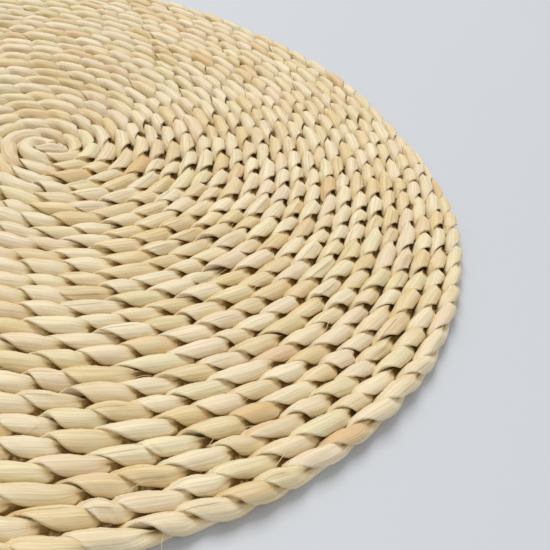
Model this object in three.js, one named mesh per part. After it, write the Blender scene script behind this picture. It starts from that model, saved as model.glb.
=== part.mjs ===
// A round placemat: one twist of dried husk wound flat, turn on turn, from the centre to the rim.
// Millimetres. The mat lies on z = 0 with its face up, and the rows are raised on both faces.
import * as THREE from "three";

const ROW_PITCH = 7.45; // from one row of the spiral to the next
const TURNS = 25; // whole turns that the row makes
const THICKNESS = 8.5; // from the crowns of the underside to the crowns of the face
const FURROW_DEPTH = 2.2; // how far the furrow between two rows lies under the crowns
const CROWN_FROM = 0.24; // the flat top of a row starts here, as a share of the pitch
const CROWN_TO = 0.76; // and ends here
const END_ANGLE = 25; // where the outermost row ends, in degrees from +X
const END_TAPER = 24; // degrees over which the row narrows to its tucked end
const END_WIDTH = 0.35; // width left at that end, as a share of the pitch
const COARSE_STEPS = 22; // straight lengths to a turn near the centre
const FINE_STEPS = 44; // and further out
const FINE_FROM_TURN = 8;

const TAU = 2 * Math.PI;
const END = TURNS * TAU; // the angle that the row has turned through at its end
const PHASE = THREE.MathUtils.degToRad(END_ANGLE) - END;

// The angles at which a line along the spiral has its points, up to the angle `last`.
function anglesTo(last) {
  const angles = [0];
  while (angles[angles.length - 1] < last - 1e-6) {
    const angle = angles[angles.length - 1];
    const fine = angle > FINE_FROM_TURN * TAU - 1e-6;
    angles.push(angle + TAU / (fine ? FINE_STEPS : COARSE_STEPS));
  }
  return angles;
}

// How wide the row is at an angle, as a share of the pitch: full, and narrower over its last degrees.
function widthAt(angle) {
  const left = (END - angle) / THREE.MathUtils.degToRad(END_TAPER);
  return THREE.MathUtils.lerp(END_WIDTH, 1, THREE.MathUtils.smoothstep(left, 0, 1));
}

// One face of the mat as lines that run along the spiral: the furrow on the inside of each row, then
// the two edges of its crown. The furrow makes one turn more, and that last turn is the rim.
class Face {
  constructor(positions, crownZ, furrowZ) {
    this.positions = positions;
    const rowAngles = anglesTo(END);
    this.furrow = anglesTo(END + TAU).map((angle) => {
      const inner = Math.max(0, angle - TAU);
      const width = angle > END ? widthAt(inner) : 1;
      const radius = angle > END ? inner / TAU + width : angle / TAU;
      return { angle, index: this.point(angle, radius, angle === 0 ? crownZ : furrowZ) };
    });
    const crownEdge = (share) =>
      rowAngles.map((angle) => {
        const radius = angle / TAU + share * widthAt(angle);
        return { angle, index: this.point(angle, radius, crownZ) };
      });
    this.crownIn = crownEdge(CROWN_FROM);
    this.crownOut = crownEdge(CROWN_TO);
    this.inside = this.furrow.filter(({ angle }) => angle < END + 1e-6);
    this.outside = this.furrow
      .filter(({ angle }) => angle > TAU - 1e-6)
      .map(({ angle, index }) => ({ angle: angle - TAU, index }));
    this.rim = this.furrow.filter(({ angle }) => angle > END - 1e-6);
    this.eye = this.furrow.filter(({ angle }) => angle < TAU + 1e-6);
  }

  // Adds a point at a radius counted in rows, and returns its number.
  point(angle, rows, z) {
    const radius = rows * ROW_PITCH;
    this.positions.push(radius * Math.cos(angle + PHASE), radius * Math.sin(angle + PHASE), z);
    return this.positions.length / 3 - 1;
  }
}

// Triangles between two lines of points, walking along both by angle.
function bridge(from, to) {
  const triangles = [];
  let a = 0;
  let b = 0;
  while (a < from.length - 1 || b < to.length - 1) {
    const walkFrom =
      b === to.length - 1 || (a < from.length - 1 && from[a + 1].angle < to[b + 1].angle + 1e-6);
    const next = walkFrom ? from[a + 1] : to[b + 1];
    triangles.push([from[a].index, to[b].index, next.index]);
    if (walkFrom) a += 1;
    else b += 1;
  }
  return triangles;
}

// The triangles of one face: the row's two flanks and crown, and the eye at the start of the spiral.
function faceTriangles({ inside, crownIn, crownOut, outside, eye }) {
  const centre = eye[0].index;
  const firstTurn = eye[eye.length - 1].index;
  const triangles = [
    ...bridge(inside, crownIn),
    ...bridge(crownIn, crownOut),
    ...bridge(crownOut, outside),
    [crownIn[0].index, centre, firstTurn],
    [crownOut[0].index, crownIn[0].index, firstTurn],
  ];
  for (let i = 1; i < eye.length - 1; i += 1) {
    triangles.push([centre, eye[i].index, eye[i + 1].index]);
  }
  return triangles;
}

// The cut end of the outermost row, a fan over its eight corners.
function endTriangles(face, underside) {
  const last = (line) => line[line.length - 1].index;
  const corners = [
    underside.rim[0].index,
    face.rim[0].index,
    last(face.crownIn),
    last(face.crownOut),
    last(face.rim),
    last(underside.rim),
    last(underside.crownOut),
    last(underside.crownIn),
  ];
  return corners.slice(1, -1).map((corner, i) => [corners[0], corner, corners[i + 2]]);
}

function matGeometry() {
  const positions = [];
  const face = new Face(positions, THICKNESS, THICKNESS - FURROW_DEPTH);
  const underside = new Face(positions, 0, FURROW_DEPTH);
  const triangles = [
    ...faceTriangles(face),
    ...faceTriangles(underside).map(([a, b, c]) => [a, c, b]),
    ...bridge(face.rim, underside.rim),
    ...endTriangles(face, underside),
  ];
  const geometry = new THREE.BufferGeometry();
  geometry.setAttribute("position", new THREE.Float32BufferAttribute(positions, 3));
  geometry.setIndex(triangles.flat());
  geometry.computeBoundingBox();
  const middle = geometry.boundingBox.getCenter(new THREE.Vector3());
  geometry.translate(-middle.x, -middle.y, 0);
  geometry.computeVertexNormals();
  return geometry;
}

const husk = new THREE.MeshStandardMaterial({ color: 0xe0cb9f, roughness: 0.72, metalness: 0 });

const placemat = new THREE.Group();
placemat.name = "round_woven_placemat";
const mat = new THREE.Mesh(matGeometry(), husk);
mat.name = "woven_mat";
placemat.add(mat);

export default placemat;
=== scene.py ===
"""Dresses the round woven placemat: its twisted husk strands, loose fibres, table, light and camera."""

import math
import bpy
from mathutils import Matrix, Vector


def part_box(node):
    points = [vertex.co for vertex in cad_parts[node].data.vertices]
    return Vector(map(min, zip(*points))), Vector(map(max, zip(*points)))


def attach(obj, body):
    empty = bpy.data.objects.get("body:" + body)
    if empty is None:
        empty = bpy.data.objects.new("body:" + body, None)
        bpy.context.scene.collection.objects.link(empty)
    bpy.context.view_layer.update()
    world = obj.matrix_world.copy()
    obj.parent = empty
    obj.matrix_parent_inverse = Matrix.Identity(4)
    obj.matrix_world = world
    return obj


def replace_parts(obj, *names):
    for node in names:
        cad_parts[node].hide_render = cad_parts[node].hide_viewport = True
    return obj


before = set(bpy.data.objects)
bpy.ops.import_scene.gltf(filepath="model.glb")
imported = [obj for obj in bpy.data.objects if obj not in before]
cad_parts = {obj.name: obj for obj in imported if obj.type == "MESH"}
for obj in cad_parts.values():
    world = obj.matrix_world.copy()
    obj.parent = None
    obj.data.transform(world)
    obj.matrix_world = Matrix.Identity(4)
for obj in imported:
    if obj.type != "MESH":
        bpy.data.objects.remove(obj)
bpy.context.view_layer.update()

from types import SimpleNamespace
from typing import NamedTuple

import bpy
from bpy.props import FloatProperty, FloatVectorProperty, IntProperty, PointerProperty
from mathutils import Matrix, Vector

bl_info = {
    "name": "Round woven placemat",
    "version": (1, 0, 0),
    "blender": (4, 5, 0),
    "location": "View3D > Sidebar > Placemat",
    "description": "Builds a round placemat of twisted husk strands wound as one spiral",
    "category": "Add Mesh",
}

MAT = "woven_mat"
BODY = "root"
MAT_LOW, MAT_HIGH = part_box(MAT)
MM = 0.001
TAU = 2 * math.pi

# Attributes that the husk carries for its material.
PLACE = "husk_place"  # place across the strand, painted shade of pits and slits from 0 to 1, place along the strand
TONE = "husk_tone"  # three chance values of the leaf
FOLD = "husk_fold"  # place across the leaf's fold, and the fold's height in millimetres, which place a painted shadow line along the fold

# Turns of the spiral at which one band of rows, a piece of its own, ends and the next one starts.
BAND_ENDS = (12.5, 16.5, 19.5, 22.5)
BAND_RINGS = 3000
FIBRES = "loose_fibres"


class Field:
    """A value that flows through a node tree and takes part in sums as a plain number does."""

    def __init__(self, socket):
        self.socket = socket

    def __add__(self, other):
        return maths("ADD", self, other)

    def __radd__(self, other):
        return maths("ADD", other, self)

    def __sub__(self, other):
        return maths("SUBTRACT", self, other)

    def __rsub__(self, other):
        return maths("SUBTRACT", other, self)

    def __mul__(self, other):
        return maths("MULTIPLY", self, other)

    def __rmul__(self, other):
        return maths("MULTIPLY", other, self)

    def __truediv__(self, other):
        return maths("DIVIDE", self, other)

    def __pow__(self, other):
        return maths("POWER", self, other)

    def __neg__(self):
        return maths("MULTIPLY", self, -1.0)


def feed(socket, value):
    """Links a field to a node's socket, or sets the socket to a plain value."""
    if isinstance(value, Field):
        socket.id_data.links.new(value.socket, socket)
    else:
        socket.default_value = value


def add_node(tree, kind, inputs=None, **settings):
    """A new node with its settings made and its inputs, given by name or number, fed."""
    node = tree.nodes.new(kind)
    for name, value in settings.items():
        setattr(node, name, value)
    for key, value in (inputs or {}).items():
        socket = node.inputs[key]
        if isinstance(key, str):
            socket = next(s for s in node.inputs if s.name == key and s.enabled)
        feed(socket, value)
    return node


def maths(operation, *values):
    """One sum of fields and numbers."""
    tree = next(v for v in values if isinstance(v, Field)).socket.id_data
    node = add_node(tree, "ShaderNodeMath", dict(enumerate(values)), operation=operation)
    return Field(node.outputs[0])


def smooth_step(value, low, high, start=0.0, end=1.0):
    """Goes smoothly from start to end while the value goes from low to high."""
    names = ("Value", "From Min", "From Max", "To Min", "To Max")
    inputs = dict(zip(names, (value, low, high, start, end)))
    tree = value.socket.id_data
    node = add_node(tree, "ShaderNodeMapRange", inputs, interpolation_type="SMOOTHSTEP")
    return Field(node.outputs["Result"])


def vector(tree, x, y, z):
    """Three fields as one vector."""
    return Field(add_node(tree, "ShaderNodeCombineXYZ", {0: x, 1: y, 2: z}).outputs[0])


def parts_of(value):
    """A vector as three fields."""
    node = add_node(value.socket.id_data, "ShaderNodeSeparateXYZ", {0: value})
    return [Field(output) for output in node.outputs]


def point_of(tree):
    """The place of each point of a shape as three fields."""
    return parts_of(Field(tree.nodes.new("GeometryNodeInputPosition").outputs[0]))


def scaled(value, factors):
    """A vector with each of its parts times its own factor."""
    inputs = {0: value, 1: factors}
    node = add_node(value.socket.id_data, "ShaderNodeVectorMath", inputs, operation="MULTIPLY")
    return Field(node.outputs[0])


def noise_along(value, frequency, seed):
    """Smooth chance values from -1 to 1 along a line."""
    inputs = {"W": value * frequency + seed, "Scale": 1.0, "Detail": 1.0}
    node = add_node(value.socket.id_data, "ShaderNodeTexNoise", inputs, noise_dimensions="1D")
    return (Field(node.outputs[0]) - 0.5) * 2.0


def waves(value, parts):
    """A sum of smooth chance values along a line, each with its frequency, seed and size."""
    return sum(noise_along(value, frequency, seed) * size for frequency, seed, size in parts)


def noise_in(value, detail, roughness=0.5):
    """Smooth chance values from 0 to 1 in space."""
    inputs = {"Vector": value, "Scale": 1.0, "Detail": detail, "Roughness": roughness}
    node = add_node(value.socket.id_data, "ShaderNodeTexNoise", inputs)
    return Field(node.outputs[0])


def chances(number, seed):
    """Three chance values from -1 to 1 that belong to a whole number."""
    inputs = {0: (-1.0, -1.0, -1.0), 1: (1.0, 1.0, 1.0), "ID": number, "Seed": seed}
    tree = number.socket.id_data
    node = add_node(tree, "FunctionNodeRandomValue", inputs, data_type="FLOAT_VECTOR")
    return parts_of(Field(node.outputs[0]))


def new_tree(name, kind, inputs, outputs):
    """A node tree with named sockets, as the tree, its inputs as fields and its output node."""
    tree = bpy.data.node_groups.new(name, kind)
    for label, socket_type in inputs.items():
        tree.interface.new_socket(label, in_out="INPUT", socket_type=socket_type)
    for label, socket_type in outputs.items():
        tree.interface.new_socket(label, in_out="OUTPUT", socket_type=socket_type)
    sources = tree.nodes.new("NodeGroupInput")
    fields = {label: Field(sources.outputs[label]) for label in inputs}
    return tree, fields, tree.nodes.new("NodeGroupOutput")


FLOAT = "NodeSocketFloat"
WHOLE = "NodeSocketInt"
SHAPE = "NodeSocketGeometry"
COLOUR = "NodeSocketColor"
VECTOR = "NodeSocketVector"

SPIRAL_INPUTS = {
    "Row pitch": FLOAT,
    "Turns": FLOAT,
    "Start angle": FLOAT,
    "Centre X": FLOAT,
    "Centre Y": FLOAT,
    "Middle height": FLOAT,
    "Seed": WHOLE,
    "Material": "NodeSocketMaterial",
}
STRAND_INPUTS = {
    **SPIRAL_INPUTS,
    "Leaves": FLOAT,
    "From leaf": FLOAT,
    "To leaf": FLOAT,
    "Leaf length": FLOAT,
    "Leaf width": FLOAT,
    "Leaf thickness": FLOAT,
    "Rings": WHOLE,
}

# The eye, where the start of the row is folded straight over the middle of an oval first turn.
EYE_FOLD = 11 * MM  # length of that straight start
EYE_BEND = (EYE_FOLD - 3 * MM, EYE_FOLD + 5 * MM)  # where along the row it bends round
EYE_STRETCH = 2.4 * MM
STRETCH_TURNS = (0.1, 2.5)  # over these turns the oval becomes a circle
EYE_SHIFT = (3.5 * MM, -8.0 * MM)  # from the middle of the mat
SHIFT_TURNS = 16.0  # over these turns the rows come to lie about the middle
START_LENGTH = 9 * MM
START_SIZE = 0.55  # size of the row at its start, from which it grows over that length

# The end of the row, which narrows over the last part of a turn and is tucked in.
TUCK_TURNS = 0.066
TUCK_SIZE = 0.42

# Unevenness as (frequency, seed, size): a leaf's place, in leaves, and the row's radius, in metres.
PLACE_WAVES = ((0.15, 7.7, 0.4), (0.5, 4.3, 0.3))
RADIUS_WAVES = ((18.0, 3.1, 0.45 * MM), (55.0, 1.7, 0.6 * MM))
EVEN_LEAVES = 8.0  # it fades over these leaves at both ends of the row

# The twist and the section of a strand.
SECTION_POINTS = 16
OUTER_GATHER = 0.6  # brings two thirds of a section's points to its outer side
HALF_SWEEP = math.radians(102)  # how far a strand reaches round the row on each side of its middle
TURN_OVER = 0.04  # how much the twist hurries while an edge crosses the face or the underside
INNER_CURVE = 1.7  # the power by which a strand gets thicker away from its edges
ROW_WIDTH = 0.93  # as a share of the row's height before it is pressed flat
UNDERSIDE_PRESS = (-4.15 * MM, 0.6 * MM)  # its height from the row's middle, and its rounding
FACE_PRESS = (4.7 * MM, 0.8 * MM)


def stretched(rotation):
    """How far along the row the twist has come, as an angle. It hurries a little in each leaf."""
    return rotation - TURN_OVER * maths("SINE", rotation * 2.0 + (2 * HALF_SWEEP - math.pi))


def centre_at(given, turns):
    """Where the spiral has its centre at a number of turns: the first rows lie a little off the middle."""
    shift = smooth_step(turns, 0.0, SHIFT_TURNS, 1.0, 0.0)
    return given["Centre X"] + shift * EYE_SHIFT[0], given["Centre Y"] + shift * EYE_SHIFT[1]


def row_at(given, along):
    """The row at a length along it: turns made and left, size, angle, radius and the way it faces."""
    pitch = given["Row pitch"]

    # The wound length, pi * pitch * (turns * turns + turns), is solved for the turns.
    wound = maths("MAXIMUM", along - EYE_FOLD, 0.0)
    turns = (maths("SQRT", 1.0 + 4.0 / math.pi * wound / pitch) - 1.0) * 0.5
    left = given["Turns"] - turns
    tucked = smooth_step(left, 0.0, TUCK_TURNS, TUCK_SIZE, 1.0)
    angle = turns * TAU + given["Start angle"]
    oval = maths("COSINE", turns * 2.0 * TAU) * smooth_step(turns, *STRETCH_TURNS, EYE_STRETCH, 0.0)
    return SimpleNamespace(
        turns=turns,
        left=left,
        size=tucked * smooth_step(along, 0.0, START_LENGTH, START_SIZE, 1.0),
        angle=angle,
        radius=pitch * (turns + 0.5 * tucked) + oval - maths("MAXIMUM", EYE_FOLD - along, 0.0),
        facing=angle - smooth_step(along, *EYE_BEND, math.pi / 2, 0.0),
    )


# A fold runs along many leaves from their start, with its inner part lying on its outer part.
FOLD_SPREAD = 0.5  # how far to each side of a leaf's middle it may lie, in radians
FOLD_SLANT = 0.5  # how far it wanders across the leaf
FOLD_MIDDLE = 0.4  # share of the leaf at which it has its chosen place
FOLD_HEIGHT = 1.2 * MM
FOLD_SHARES = (0.9, 0.4)  # it fades between these shares of the leaf
FOLD_HALF_WIDTH = 0.45
FOLD_INNER = 0.35  # share of the height by which the inner part rises
FOLD_OUTER = -0.65  # and the outer part sinks
PLEATS = 5.0
PLEAT_SHIFT = 3.0
PLEAT_HEIGHT = 0.12 * MM


def leaf_folds(leaf, fold_place, fold_size, pleated):
    """The leaf's fold, as the place across it and its height, and the relief of the fold and pleats."""
    middle = math.pi / 2 + FOLD_SPREAD * fold_place + FOLD_SLANT * (leaf.share - FOLD_MIDDLE)
    fold = leaf.bearing - middle
    height = smooth_step(fold_size, 0.0, 1.0, 0.0, FOLD_HEIGHT)
    height = height * smooth_step(leaf.share, *FOLD_SHARES) * leaf.body
    step = smooth_step(fold, -FOLD_HALF_WIDTH, FOLD_HALF_WIDTH, FOLD_INNER, FOLD_OUTER) * height
    wave = maths("SINE", leaf.bearing * (PLEATS + pleated) - leaf.share + pleated * PLEAT_SHIFT)
    return fold, height, step + wave * PLEAT_HEIGHT * leaf.body


# A leaf's radius as shares of half its width. Its side is 1 on the inside of the row and -1 outside.
PLUMP = 1.17
PIT_END = 0.36  # at the end of a leaf, outside on the face, where a pit opens
UNDERSIDE_END = 0.95  # outside on the underside, which has no pits
INNER_END = 0.80
FACE_HEIGHTS = (-0.3, 0.3)  # heights, as sines, between which the underside becomes the face
END_SIDES = (-0.9, 0.1)  # sides between which the outer end becomes the inner end
DIVE_FROM = (0.50, 0.64)  # share of the leaf at which its outer and its inner end start to dive
DIVE_TO = (1.0, 1.1)  # and at which they are down
START_PLAIN = 0.90
START_INNER = 0.55  # a leaf starts in a point on the inside of the row
INNER_SIDES = (0.2, 0.95)
START_OUTER = 0.85
OUTER_SIDES = (-1.0, -0.5)
START_SHARE = 0.3  # share of the leaf that its start takes
RIM_LEFT = (1.05, 0.95)  # turns left where the rows end and the rim starts
RIM_SIDES = (0.2, -0.2)
SLIT_SHADE_HEIGHTS = (0.2 * MM, 1.8 * MM)  # distances from the row's middle height over which the painted shade of a slit fades out
LEAF_UNEVEN = 0.7 * MM
LEAF_BULGE = 0.35 * MM
LEAF_LEAN = 0.42  # in radians round the row


def leaf_profile(leaf):
    """The leaf's radius, from its start on the twin to its end under it, and how far into a pit it lies,
    which sets the painted shade there.
    """
    outer_end = smooth_step(maths("SINE", leaf.swept), *FACE_HEIGHTS, UNDERSIDE_END, PIT_END)
    ending = smooth_step(leaf.side, *END_SIDES, outer_end, INNER_END)
    dive_from = smooth_step(leaf.side, *END_SIDES, *DIVE_FROM)
    dive_to = smooth_step(leaf.side, *END_SIDES, *DIVE_TO)
    dive = smooth_step(leaf.share, dive_from, dive_to)
    starting = smooth_step(leaf.side, *INNER_SIDES, START_PLAIN, START_INNER)
    starting = starting * smooth_step(leaf.side, *OUTER_SIDES, START_OUTER, 1.0)
    radius = PLUMP - (PLUMP - ending) * dive
    profile = radius * smooth_step(leaf.share, 0.0, START_SHARE, starting, 1.0)
    return profile, dive * (PLUMP - ending) / (PLUMP - PIT_END)


# How the husk's pattern lies on a strand.
PATTERN_REACH = 3.7 * MM  # length of pattern for each radian round the row
PATTERN_SLANT = 2.0 * MM
TONE_FADE = 0.3  # a leaf's own tone fades below this sine of its bearing


def strand_shape(tree, given, strand):
    """One of the two strands: a closed tube laid along the spiral, turning about its twin."""
    tube = add_node(
        tree,
        "GeometryNodeMeshCylinder",
        {"Vertices": SECTION_POINTS, "Side Segments": given["Rings"], "Radius": 1.0, "Depth": 1.0},
        fill_type="NGON",
    )
    x, y, z = point_of(tree)

    # Each half turn of the twist brings a leaf of this strand over the face or over the underside.
    count = given["From leaf"] + (given["To leaf"] - given["From leaf"]) * (0.5 - z)
    rotation = count * math.pi
    uneven = smooth_step(count, 0.0, EVEN_LEAVES)
    uneven = uneven * smooth_step(given["Leaves"] - count, 0.0, EVEN_LEAVES)
    drift = waves(count, PLACE_WAVES) * uneven
    along = given["Leaf length"] * (stretched(rotation) / math.pi + drift)
    row = row_at(given, along)
    radius = row.radius + waves(along, RADIUS_WAVES) * uneven

    # The section is one arm of a whirl about the middle of the row. Its leading edge, at 1, lies on
    # the twin strand, and its trailing edge, at -1, is tucked under the twin.
    flat = maths("ARCTAN2", y, x)
    corner = flat + OUTER_GATHER * maths("COSINE", flat)
    edge = maths("COSINE", corner)
    out = maths("SINE", corner)
    swept = rotation + strand * math.pi + edge * HALF_SWEEP
    number = maths("FLOOR", swept / math.pi)
    owner = number * 2.0 + float(strand)
    high, lean, fold_place = chances(owner, given["Seed"])
    fold_size, pleated, bulged = chances(owner, given["Seed"] + 1.0)
    bearing = swept - number * math.pi
    covered = stretched(rotation) - stretched(rotation - (1.0 - edge) * HALF_SWEEP)
    leaf = SimpleNamespace(
        swept=swept,
        side=maths("COSINE", swept),
        bearing=bearing,
        body=maths("SINE", bearing),
        share=covered / math.pi,  # from 0 at the start of a leaf to 1 where the next one covers it
    )
    fold, fold_height, relief = leaf_folds(leaf, fold_place, fold_size, pleated)
    profile, pit = leaf_profile(leaf)

    # The tube's outer side carries the relief, and its inner side gives the strand its thickness.
    uneven_height = (high * LEAF_UNEVEN + bulged * edge * LEAF_BULGE) * leaf.body
    thickness = given["Leaf thickness"] * profile * maths("MAXIMUM", -out, 0.0) ** INNER_CURVE
    outer_depth = given["Leaf width"] * 0.5 * profile + uneven_height
    depth = (outer_depth + maths("MAXIMUM", out, 0.0) * relief - thickness) * row.size
    around = swept + lean * LEAF_LEAN * leaf.body
    outwards = -ROW_WIDTH * depth * maths("COSINE", around)
    rise = maths("SMOOTH_MAX", depth * maths("SINE", around), *UNDERSIDE_PRESS)
    rise = maths("SMOOTH_MIN", rise, *FACE_PRESS)

    centre_x, centre_y = centre_at(given, row.turns)
    place = vector(
        tree,
        centre_x + radius * maths("COSINE", row.angle) + outwards * maths("COSINE", row.facing),
        centre_y + radius * maths("SINE", row.angle) + outwards * maths("SINE", row.facing),
        given["Middle height"] + rise,
    )

    # Painted shade: a point in a pit, or near the row's middle height in a slit between rows, gets a value
    # that darkens it in the material. The rim's outer side gets no slit shade.
    rim = smooth_step(row.left, *RIM_LEFT) * smooth_step(leaf.side, *RIM_SIDES)
    slit_shade = smooth_step(maths("ABSOLUTE", rise), *SLIT_SHADE_HEIGHTS, 1.0, 0.0) * (1.0 - rim)
    across = swept * PATTERN_REACH - leaf.share * PATTERN_SLANT
    fade = smooth_step(leaf.body, 0.0, TONE_FADE)
    tones = [tone * fade for tone in chances(owner, given["Seed"] + 2.0)]
    stored = {
        PLACE: vector(tree, across, maths("MAXIMUM", pit, slit_shade), along),
        TONE: vector(tree, *tones),
        FOLD: vector(tree, fold, fold_height / MM, 0.0),
    }
    return moved_to(place, smooth_sides(tube), stored)


def smooth_sides(tube):
    """A tube with smooth sides and flat ends."""
    inputs = {"Geometry": Field(tube.outputs["Mesh"]), "Selection": Field(tube.outputs["Side"])}
    node = add_node(tube.id_data, "GeometryNodeSetShadeSmooth", inputs)
    return Field(node.outputs[0])


def moved_to(place, shape, stored):
    """A shape with attributes stored on its points and each point moved to its place."""
    tree = shape.socket.id_data
    for label, value in stored.items():
        store = add_node(
            tree,
            "GeometryNodeStoreNamedAttribute",
            {"Geometry": shape, "Name": label, "Value": value},
            data_type="FLOAT_VECTOR",
            domain="POINT",
        )
        shape = Field(store.outputs["Geometry"])
    moved = add_node(tree, "GeometryNodeSetPosition", {"Geometry": shape, "Position": place})
    return Field(moved.outputs["Geometry"])


def finish_tree(shape, material, result):
    """Ends a tree: the shape real and with its material."""
    tree = shape.socket.id_data
    real = add_node(tree, "GeometryNodeRealizeInstances", {"Geometry": shape})
    inputs = {"Geometry": Field(real.outputs[0]), "Material": material}
    dressed = add_node(tree, "GeometryNodeSetMaterial", inputs)
    feed(result.inputs["Geometry"], Field(dressed.outputs[0]))


def strand_tree():
    """The tree that makes a band of rows from both of its strands."""
    outputs = {"Geometry": SHAPE}
    tree, given, result = new_tree("Twisted husk strands", "GeometryNodeTree", STRAND_INPUTS, outputs)
    join = tree.nodes.new("GeometryNodeJoinGeometry")
    for strand in (1, 0):
        feed(join.inputs["Geometry"], strand_shape(tree, given, strand))
    finish_tree(Field(join.outputs[0]), given["Material"], result)
    return tree


FIBRE_INPUTS = {**SPIRAL_INPUTS, "Fibres": WHOLE}
FIBRE_SIDES = 4
FIBRE_RINGS = 6
FIBRE_RADIUS = 0.15 * MM
FIBRE_TAPER = 0.7  # share of the radius that is lost towards the tip
FIBRE_LENGTH = 6.5 * MM
FIBRE_LENGTH_SPREAD = 0.5
FIBRE_CROWDING = 0.45  # below 1, more of the fibres lie in the outer rows
FIBRE_INSET = 0.8 * MM  # how far inside the rim a fibre of the rim is rooted
FIBRE_ROOT = 1.0 * MM  # height of a root over the middle of the row
FIBRE_LIFT = 2.8 * MM
FIBRE_LIFT_SPREAD = 1.2 * MM
RIM_LIFT_LOSS = 0.6  # share of that lift that a fibre of the rim lacks
RIM_SPLAY = 0.5  # how far it turns outwards, in radians
FIBRE_STRAY = 0.4  # how far a fibre strays from the furrow's direction
FIBRE_SWERVE = 2.5 * MM  # how far its tip bends sideways
RIM_TURNS = 0.01  # over which the last furrow becomes the rim
FIBRE_PATTERN_STEP = 0.01  # from one fibre to the next in the husk's pattern


def fibre_tree():
    """The tree that makes the loose fibres, which stand out of the furrows and of the rim."""
    outputs = {"Geometry": SHAPE}
    tree, given, result = new_tree("Loose husk fibres", "GeometryNodeTree", FIBRE_INPUTS, outputs)
    hair = add_node(
        tree,
        "GeometryNodeMeshCylinder",
        {"Vertices": FIBRE_SIDES, "Side Segments": FIBRE_RINGS, "Radius": 1.0, "Depth": 1.0},
        fill_type="NGON",
    )
    inputs = {"Count": given["Fibres"], "Offset": (0.0, 0.0, 0.0)}
    points = add_node(tree, "GeometryNodeMeshLine", inputs)
    inputs = {"Points": Field(points.outputs[0]), "Instance": smooth_sides(hair)}
    copies = add_node(tree, "GeometryNodeInstanceOnPoints", inputs)
    real = add_node(tree, "GeometryNodeRealizeInstances", {"Geometry": Field(copies.outputs[0])})
    x, y, z = point_of(tree)
    index = Field(tree.nodes.new("GeometryNodeInputIndex").outputs[0])
    number = maths("FLOOR", (index + 0.5) / float(FIBRE_SIDES * (FIBRE_RINGS + 1)))
    spot, turned, bent = chances(number, given["Seed"] + 3.0)
    size, lifted, tone = chances(number, given["Seed"] + 4.0)

    # Each fibre is rooted in a furrow, and in the last turn of that spiral the furrow is the rim.
    turns = (given["Turns"] + 1.0) * (spot * 0.5 + 0.5) ** FIBRE_CROWDING
    angle = turns * TAU + given["Start angle"]
    outer = smooth_step(turns, given["Turns"] - RIM_TURNS, given["Turns"])
    radius = given["Row pitch"] * turns - outer * FIBRE_INSET
    ahead = maths("SIGN", turned)
    heading = angle + ahead * (math.pi / 2 - outer * RIM_SPLAY) + bent * FIBRE_STRAY
    share = z + 0.5
    thin = FIBRE_RADIUS * (1.0 - share * FIBRE_TAPER)
    run = share * FIBRE_LENGTH * (1.0 + size * FIBRE_LENGTH_SPREAD)
    swerve = bent * share * share * FIBRE_SWERVE + x * thin
    lift = share * (2.0 - share) * (FIBRE_LIFT + lifted * FIBRE_LIFT_SPREAD)
    lift = lift * (1.0 - outer * RIM_LIFT_LOSS)
    centre_x, centre_y = centre_at(given, turns)
    along_x = maths("COSINE", heading)
    along_y = maths("SINE", heading)
    place = vector(
        tree,
        centre_x + radius * maths("COSINE", angle) + run * along_x - swerve * along_y,
        centre_y + radius * maths("SINE", angle) + run * along_y + swerve * along_x,
        given["Middle height"] + FIBRE_ROOT + lift + y * thin,
    )
    stored = {
        PLACE: vector(tree, number * FIBRE_PATTERN_STEP, 0.0, run),
        TONE: vector(tree, tone, turned, 0.0),
        FOLD: vector(tree, 1.0, 0.0, 0.0),
    }
    finish_tree(moved_to(place, Field(real.outputs[0]), stored), given["Material"], result)
    return tree


def made_by(tree, name, values):
    """A plain mesh object made by a geometry tree from the values of its named inputs."""
    holder = bpy.data.objects.new(name + "_maker", bpy.data.meshes.new(name + "_maker"))
    bpy.context.scene.collection.objects.link(holder)
    modifier = holder.modifiers.new("Make", "NODES")
    modifier.node_group = tree
    for item in tree.interface.items_tree:
        if item.in_out == "INPUT" and item.name in values:
            modifier[item.identifier] = values[item.name]
    depsgraph = bpy.context.evaluated_depsgraph_get()
    mesh = bpy.data.meshes.new_from_object(holder.evaluated_get(depsgraph), depsgraph=depsgraph)
    mesh.name = name
    bpy.data.objects.remove(holder)
    piece = bpy.data.objects.new(name, mesh)
    bpy.context.scene.collection.objects.link(piece)
    return piece


def blend(tree, share, first, second, kind="MIX"):
    """Two colours, mixed or multiplied by a share."""
    node = add_node(tree, "ShaderNodeMix", data_type="RGBA", blend_type=kind)
    for number, value in ((0, share), (6, first), (7, second)):
        feed(node.inputs[number], value)
    return Field(node.outputs[2])


def grey(tree, value):
    """A number as a colour."""
    return Field(add_node(tree, "ShaderNodeCombineColor", {0: value, 1: value, 2: value}).outputs[0])


HUSK = "Husk"
# Brown is painted shade only, and Tan also tints the painted shade; the others are the husk's own colours.
HUSK_COLOURS = ("Pale", "Tan", "Green", "Pink", "Amber", "Brown")

# How fine the husk's patterns are across and along a strand. They don't change with the painted shade of
# pits and slits.
FINE_GRAIN = (5200.0, 0.0, 70.0)
BROAD_GRAIN = (1300.0, 0.0, 30.0)
BLOTCHES = (170.0, 0.0, 60.0)

# Ranges of smooth_step: low and high of the chance value, and what the result starts and ends with.
PALE_RANGE = (-1.2, 0.5, 0.0, 1.0)
GREEN_RANGE = (0.35, 1.0, 0.0, 0.45)
PINK_RANGE = (-0.45, -1.0, 0.0, 0.45)
BROAD_SHADE = (0.25, 0.75, 0.80, 1.06)
FINE_SHADE = (0.25, 0.75, 0.86, 1.06)
AMBER_RANGE = (0.86, 1.04, 0.0, 0.7)
# Painted shade: tan, then brown, in pits and slits, and a brown shadow line beside a fold's middle.
PIT_SHADE_TAN = (0.30, 0.90, 0.0, 0.8)
PIT_SHADE_BROWN = (0.64, 0.98, 0.0, 1.0)
CREASE_SHADOW = (0.0, 0.10, 0.45, 0.0)
CREASE_HEIGHTS = (0.2, 0.9, 0.0, 1.0)
FINE_ROUGHNESS = (0.2, 0.8, 0.62, 0.48)

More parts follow.
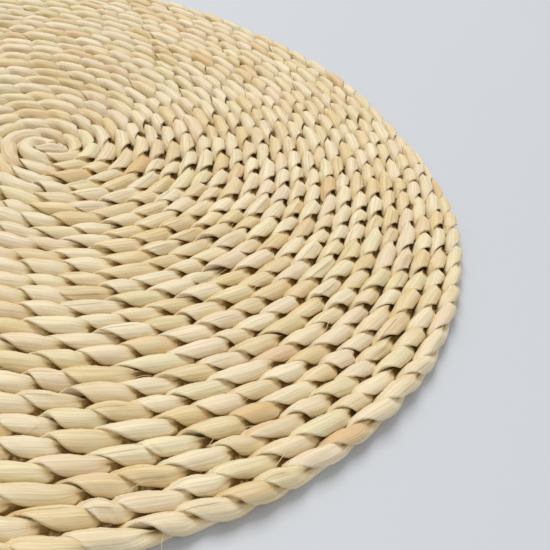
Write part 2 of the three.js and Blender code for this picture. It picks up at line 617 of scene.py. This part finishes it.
LEAF_TONE = 0.6  # how much a leaf's own tone and the blotches on it make it pale or tan
BLOTCH_TONE = 1.8
BLOTCH_ROUGHNESS = 0.15
AMBER_STREAKS = 0.6  # how far the broad grain breaks up the amber stain and the painted brown shade
SHADE_STREAKS = 0.2
CREASE_PLACE = 0.05  # the painted shadow line lies this far beside the middle of a fold
BROAD_RELIEF = 0.6
FINE_RELIEF = 0.4
BUMP_STRENGTH = 0.7
BUMP_HEIGHT = 0.4 * MM


def husk_group():
    """The husk effect: colour with painted shade, roughness and height from a place on the strand and
    chance values.
    """
    inputs = {"Place": VECTOR, "Tone": VECTOR, "Fold": VECTOR, **{name: COLOUR for name in HUSK_COLOURS}}
    outputs = {"Colour": COLOUR, "Roughness": FLOAT, "Height": FLOAT}
    tree, given, result = new_tree("Dried husk", "ShaderNodeTree", inputs, outputs)
    tone, tint, streak = parts_of(given["Tone"])
    fold, fold_height, _ = parts_of(given["Fold"])
    # The place's second part is the painted shade of pits and slits, from 0 to 1.
    pit = parts_of(given["Place"])[1]
    fine = noise_in(scaled(given["Place"], FINE_GRAIN), detail=3.0, roughness=0.6)
    broad = noise_in(scaled(given["Place"], BROAD_GRAIN), detail=2.0)
    blotch = noise_in(scaled(given["Place"], BLOTCHES), detail=2.0)

    # A leaf is pale, tan, greenish or pinkish, with darker fibres. Painted shade makes its pits and slits
    # tan and then brown, and draws a brown shadow line along its fold.
    pale = smooth_step(tone * LEAF_TONE + (blotch - 0.5) * BLOTCH_TONE, *PALE_RANGE)
    colour = blend(tree, pale, given["Tan"], given["Pale"])
    colour = blend(tree, smooth_step(tint, *GREEN_RANGE), colour, given["Green"])
    colour = blend(tree, smooth_step(tint, *PINK_RANGE), colour, given["Pink"])
    shade = smooth_step(broad, *BROAD_SHADE) * smooth_step(fine, *FINE_SHADE)
    colour = blend(tree, 1.0, colour, grey(tree, shade), "MULTIPLY")
    amber = smooth_step(streak + (broad - 0.5) * AMBER_STREAKS, *AMBER_RANGE)
    colour = blend(tree, amber, colour, given["Amber"])
    # Painted shade: tan, then brown further in, where a point lies in a pit at a leaf's end or in a slit
    # between rows.
    colour = blend(tree, smooth_step(pit, *PIT_SHADE_TAN), colour, given["Tan"])
    ending = smooth_step(pit + (broad - 0.5) * SHADE_STREAKS, *PIT_SHADE_BROWN)
    # Painted shadow: a thin brown line beside the middle of a high fold.
    crease_shadow = smooth_step(maths("ABSOLUTE", fold - CREASE_PLACE), *CREASE_SHADOW)
    crease_shadow = crease_shadow * smooth_step(fold_height, *CREASE_HEIGHTS)
    colour = blend(tree, maths("MAXIMUM", ending, crease_shadow), colour, given["Brown"])
    roughness = smooth_step(fine, *FINE_ROUGHNESS) + (blotch - 0.5) * BLOTCH_ROUGHNESS
    feed(result.inputs["Colour"], colour)
    feed(result.inputs["Roughness"], roughness)
    feed(result.inputs["Height"], broad * BROAD_RELIEF + fine * FINE_RELIEF)
    return tree


def bare_material(name):
    """A new material without any shader yet, and its tree."""
    material = bpy.data.materials.new(name)
    material.use_nodes = True
    material.node_tree.nodes.clear()
    return material, material.node_tree


def add_shader(tree, inputs):
    """The material's shader with its inputs fed, linked to the material's output."""
    shader = add_node(tree, "ShaderNodeBsdfPrincipled", inputs)
    output = tree.nodes.new("ShaderNodeOutputMaterial")
    feed(output.inputs["Surface"], Field(shader.outputs[0]))


def husk_material(settings):
    """Dry, satin husk with fibres that run along the strand."""
    material, tree = bare_material(HUSK)
    husk = add_node(tree, "ShaderNodeGroup", node_tree=husk_group())
    for label, name in (("Place", PLACE), ("Tone", TONE), ("Fold", FOLD)):
        read = add_node(tree, "ShaderNodeAttribute", attribute_name=name)
        feed(husk.inputs[label], Field(read.outputs["Vector"]))
    for label in HUSK_COLOURS:
        husk.inputs[label].default_value = (*getattr(settings, label.lower()), 1.0)
    height = Field(husk.outputs["Height"])
    inputs = {"Height": height, "Strength": BUMP_STRENGTH, "Distance": BUMP_HEIGHT}
    bump = add_node(tree, "ShaderNodeBump", inputs)
    add_shader(
        tree,
        {
            "Base Color": Field(husk.outputs["Colour"]),
            "Roughness": Field(husk.outputs["Roughness"]),
            "Normal": Field(bump.outputs[0]),
        },
    )
    return material


TABLE_ROUGHNESS = 0.6
MOTTLE_SCALE = (3.0, 3.0, 3.0)
MOTTLE = 0.015  # how much lighter and darker than its colour the table gets


def table_material(settings):
    """A plain table top with faint, broad mottling."""
    material, tree = bare_material("Table")
    place = Field(tree.nodes.new("ShaderNodeTexCoord").outputs["Object"])
    mottle = noise_in(scaled(place, MOTTLE_SCALE), detail=2.0)
    darker = (*[(1 - MOTTLE) * part for part in settings.table_colour], 1.0)
    lighter = (*[(1 + MOTTLE) * part for part in settings.table_colour], 1.0)
    colour = blend(tree, mottle, darker, lighter)
    add_shader(tree, {"Base Color": colour, "Roughness": TABLE_ROUGHNESS})
    return material


class PlacematSettings(bpy.types.PropertyGroup):
    """Sizes and colours of the placemat and its picture."""

    row_pitch: FloatProperty(
        name="Row pitch", description="From one row to the next", default=7.45 * MM, unit="LENGTH"
    )
    turns: IntProperty(name="Turns", description="Whole turns of the spiral", default=25)
    end_angle: FloatProperty(
        name="End angle",
        description="Where the outermost row ends, from +X",
        default=math.radians(25),
        subtype="ANGLE",
    )
    centre: FloatVectorProperty(
        name="Centre",
        description="Middle of the spiral on the table",
        size=2,
        default=(-1.862 * MM, 1.862 * MM),
        subtype="XYZ",
        unit="LENGTH",
    )
    leaf_length: FloatProperty(
        name="Leaf length", description="Half a turn of the twist", default=14.1 * MM, unit="LENGTH"
    )
    leaf_width: FloatProperty(
        name="Leaf width", description="Width that a leaf's shape follows", default=7.6 * MM, unit="LENGTH"
    )
    leaf_thickness: FloatProperty(
        name="Leaf thickness", description="Thickest part of a leaf", default=3.2 * MM, unit="LENGTH"
    )
    fibres: IntProperty(name="Fibres", description="Number of loose fibres", default=320)
    pale: FloatVectorProperty(
        name="Pale husk", description="Lightest leaves", default=(0.92, 0.79, 0.54), subtype="COLOR"
    )
    # Tan is also the first tint of the painted shade in pits and slits.
    tan: FloatVectorProperty(
        name="Tan husk", description="Darkest leaves", default=(0.80, 0.595, 0.275), subtype="COLOR"
    )
    green: FloatVectorProperty(
        name="Green husk", description="Leaves cut early", default=(0.84, 0.765, 0.44), subtype="COLOR"
    )
    pink: FloatVectorProperty(
        name="Pink husk", description="Leaves with a blush", default=(0.88, 0.70, 0.52), subtype="COLOR"
    )
    amber: FloatVectorProperty(
        name="Amber husk", description="A few stained leaves", default=(0.66, 0.37, 0.13), subtype="COLOR"
    )
    # Painted shade: the brown of the pits at the leaves' ends, of the slits between rows and of the shadow
    # line along each fold.
    brown: FloatVectorProperty(
        name="Brown husk",
        description="Ends of the leaves and creases in them",
        default=(0.23, 0.115, 0.010),
        subtype="COLOR",
    )
    table_colour: FloatVectorProperty(
        name="Table", description="Table top", default=(0.585, 0.615, 0.66), subtype="COLOR"
    )
    lens: FloatProperty(
        name="Lens", description="Focal length on a 36 mm sensor", default=42.07, subtype="UNSIGNED"
    )
    camera_place: FloatVectorProperty(
        name="Camera",
        description="Where the camera stands",
        default=(0.11287, -0.23615, 0.17172),
        subtype="XYZ",
        unit="LENGTH",
    )
    camera_tilt: FloatProperty(
        name="Tilt", description="How far down it looks", default=math.radians(41.21), subtype="ANGLE"
    )
    camera_roll: FloatProperty(
        name="Roll", description="How far it leans", default=math.radians(-15.48), subtype="ANGLE"
    )
    seed: IntProperty(name="Seed", description="Chooses the chance values", default=11)


def leaves_to(settings, turns):
    """The number of leaves from the start of the row to a number of turns of the spiral."""
    if turns == 0:
        return 0.0
    length = EYE_FOLD + math.pi * settings.row_pitch * (turns * turns + turns)
    return length / settings.leaf_length


def band_spans(settings):
    """The bands of rows by name, each with the turns at which it starts and ends."""
    starts = (0, *BAND_ENDS)
    ends = (*BAND_ENDS, settings.turns)
    return {f"rows_{number}": span for number, span in enumerate(zip(starts, ends), 1)}


def spiral_values(settings):
    """The inputs that every tree of the mat shares."""
    return {
        "Row pitch": settings.row_pitch,
        "Turns": float(settings.turns),
        "Start angle": settings.end_angle,
        "Centre X": settings.centre[0],
        "Centre Y": settings.centre[1],
        "Middle height": (MAT_LOW.z + MAT_HIGH.z) / 2,
        "Seed": settings.seed,
        "Material": bpy.data.materials.get(HUSK) or husk_material(settings),
    }


def husk_piece(tree, name, values):
    """A piece of husk made by a tree, on the body and with the husk's slot."""
    piece = made_by(tree, name, values)
    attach(piece, BODY)
    return piece


class PLACEMAT_OT_rows(bpy.types.Operator):
    """Makes the twisted rows, in bands that replace the mat's solid"""

    bl_idname = "placemat.rows"
    bl_label = "Twisted rows"

    def execute(self, context):
        settings = context.scene.placemat
        tree = strand_tree()
        values = {
            **spiral_values(settings),
            "Leaves": leaves_to(settings, settings.turns),
            "Leaf length": settings.leaf_length,
            "Leaf width": settings.leaf_width,
            "Leaf thickness": settings.leaf_thickness,
            "Rings": BAND_RINGS,
        }
        for name, (start, end) in band_spans(settings).items():
            values["From leaf"] = leaves_to(settings, start)
            values["To leaf"] = leaves_to(settings, end)
            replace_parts(husk_piece(tree, name, values), MAT)
        return {"FINISHED"}


class PLACEMAT_OT_fibres(bpy.types.Operator):
    bl_idname = "placemat.fibres"
    bl_label = "Loose fibres"

    @classmethod
    def poll(cls, context):
        return all(name in bpy.data.objects for name in band_spans(context.scene.placemat))

    def execute(self, context):
        settings = context.scene.placemat
        values = {**spiral_values(settings), "Fibres": settings.fibres}
        fibres = husk_piece(fibre_tree(), FIBRES, values)
        return {"FINISHED"}


class Lamp(NamedTuple):
    """A square lamp that looks at the middle of the mat."""

    name: str
    place: tuple
    size: float
    power: float
    colour: tuple


LAMPS = (
    Lamp("window", (-1.74, 2.06, 4.68), 3.2, 222.0, (1.0, 0.985, 0.96)),
    Lamp("fill", (3.6, -3.6, 3.6), 5.6, 60.0, (0.95, 0.97, 1.0)),
)
ROOM_COLOUR = (1.0, 0.985, 0.965, 1.0)
ROOM_LIGHT = 0.45
TABLE_HALF = 12.0  # metres, well past the edges of every picture
SENSOR_WIDTH = 36.0  # millimetres, as the lens
CLIP_START = 0.01


class PLACEMAT_OT_stage(bpy.types.Operator):
    """Lays the table top, lights it softly and sets the camera at the photograph's angle"""

    bl_idname = "placemat.stage"
    bl_label = "Table, light and camera"

    def execute(self, context):
        settings = context.scene.placemat
        self.table(context, settings)
        self.light(context)
        self.camera(context, settings)
        return {"FINISHED"}

    def table(self, context, settings):
        mesh = bpy.data.meshes.new("table")
        half = TABLE_HALF
        corners = [(-half, -half, 0), (half, -half, 0), (half, half, 0), (-half, half, 0)]
        mesh.from_pydata(corners, [], [(0, 1, 2, 3)])
        mesh.materials.append(table_material(settings))
        table = bpy.data.objects.new("table", mesh)
        context.scene.collection.objects.link(table)

    def light(self, context):
        world = bpy.data.worlds.new("Room")
        world.use_nodes = True
        room = world.node_tree.nodes["Background"]
        room.inputs["Color"].default_value = ROOM_COLOUR
        room.inputs["Strength"].default_value = ROOM_LIGHT
        context.scene.world = world
        for lamp in LAMPS:
            data = bpy.data.lights.new(lamp.name, "AREA")
            data.energy = lamp.power
            data.size = lamp.size
            data.color = lamp.colour
            light = bpy.data.objects.new(lamp.name, data)
            turn = (-Vector(lamp.place)).to_track_quat("-Z", "Y").to_matrix().to_4x4()
            light.matrix_world = Matrix.Translation(lamp.place) @ turn
            context.scene.collection.objects.link(light)
        context.scene.view_settings.view_transform = "Standard"

    def camera(self, context, settings):
        data = bpy.data.cameras.new("camera")
        data.lens = settings.lens
        data.sensor_width = SENSOR_WIDTH
        data.clip_start = CLIP_START
        camera = bpy.data.objects.new("camera", data)
        tilt = settings.camera_tilt
        roll = settings.camera_roll
        ahead = Vector((0, math.cos(tilt), -math.sin(tilt)))
        level = Vector((1, 0, 0))
        above = Vector((0, math.sin(tilt), math.cos(tilt)))
        right = math.cos(roll) * level - math.sin(roll) * above
        up = math.sin(roll) * level + math.cos(roll) * above
        turn = Matrix((right, up, -ahead)).transposed().to_4x4()
        camera.matrix_world = Matrix.Translation(settings.camera_place) @ turn
        context.scene.collection.objects.link(camera)
        context.scene.camera = camera


class PLACEMAT_PT_panel(bpy.types.Panel):
    """Lists the steps and the sizes in the 3D view's sidebar"""

    bl_idname = "PLACEMAT_PT_panel"
    bl_label = "Round woven placemat"
    bl_space_type = "VIEW_3D"
    bl_region_type = "UI"
    bl_category = "Placemat"

    def draw(self, context):
        for operator in OPERATORS:
            self.layout.operator(operator.bl_idname)
        for name in PlacematSettings.__annotations__:
            self.layout.prop(context.scene.placemat, name)


OPERATORS = (PLACEMAT_OT_rows, PLACEMAT_OT_fibres, PLACEMAT_OT_stage)
CLASSES = (PlacematSettings, *OPERATORS, PLACEMAT_PT_panel)


def register():
    for item in CLASSES:
        bpy.utils.register_class(item)
    bpy.types.Scene.placemat = PointerProperty(type=PlacematSettings)


def unregister():
    del bpy.types.Scene.placemat
    for item in reversed(CLASSES):
        bpy.utils.unregister_class(item)


def main():
    register()
    bpy.ops.placemat.rows()
    bpy.ops.placemat.fibres()
    bpy.ops.placemat.stage()


if __name__ == "__main__":
    main()
